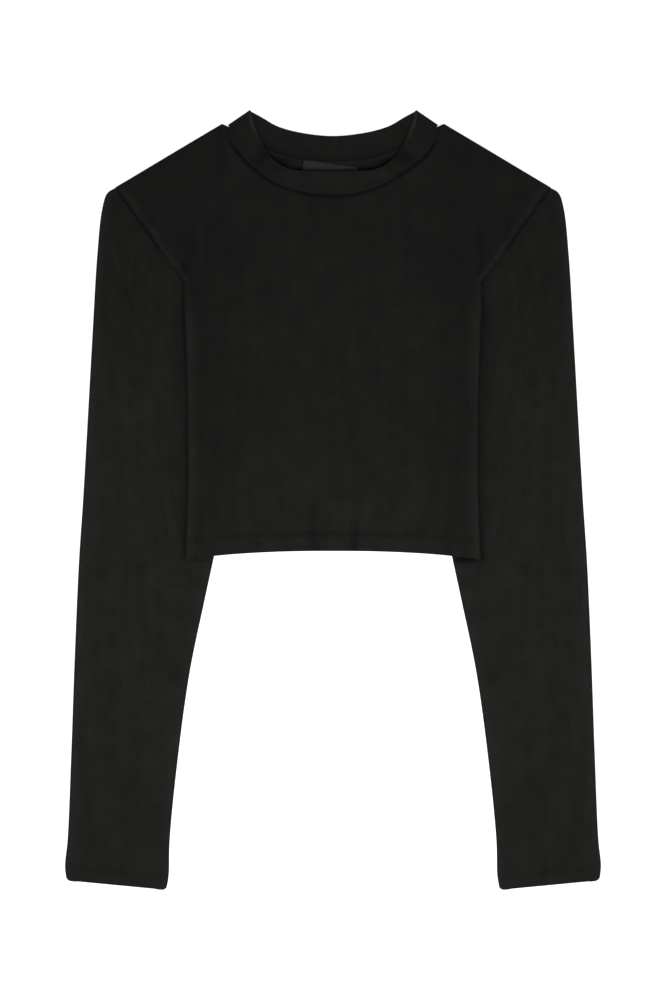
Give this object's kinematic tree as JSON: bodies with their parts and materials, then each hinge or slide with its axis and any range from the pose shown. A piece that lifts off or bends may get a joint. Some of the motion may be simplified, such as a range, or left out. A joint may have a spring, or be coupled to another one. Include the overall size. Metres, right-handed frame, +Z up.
{
  "type": "crop top",
  "caption": "Long-sleeved mock-neck crop top in black stretch jersey, laid flat with its sides folded under.",
  "frame": {"origin": "on the surface that the garment lies on, under the middle of its whole outline", "axes": "+Y towards the neck, +X across the body to the wearer's left sleeve, +Z up through the front"},
  "size_m": [0.4662, 0.6782, 0.0085],
  "materials": {
    "jersey": "black fine-gauge stretch jersey, matt with a soft sheen",
    "label_ribbon": "dark grey woven ribbon, blank"
  },
  "bodies": {
    "root": {"front": "jersey", "back": "jersey", "sleeve_right": "jersey", "sleeve_left": "jersey", "neck_band": "jersey", "label": "label_ribbon"}
  },
  "joints": []
}
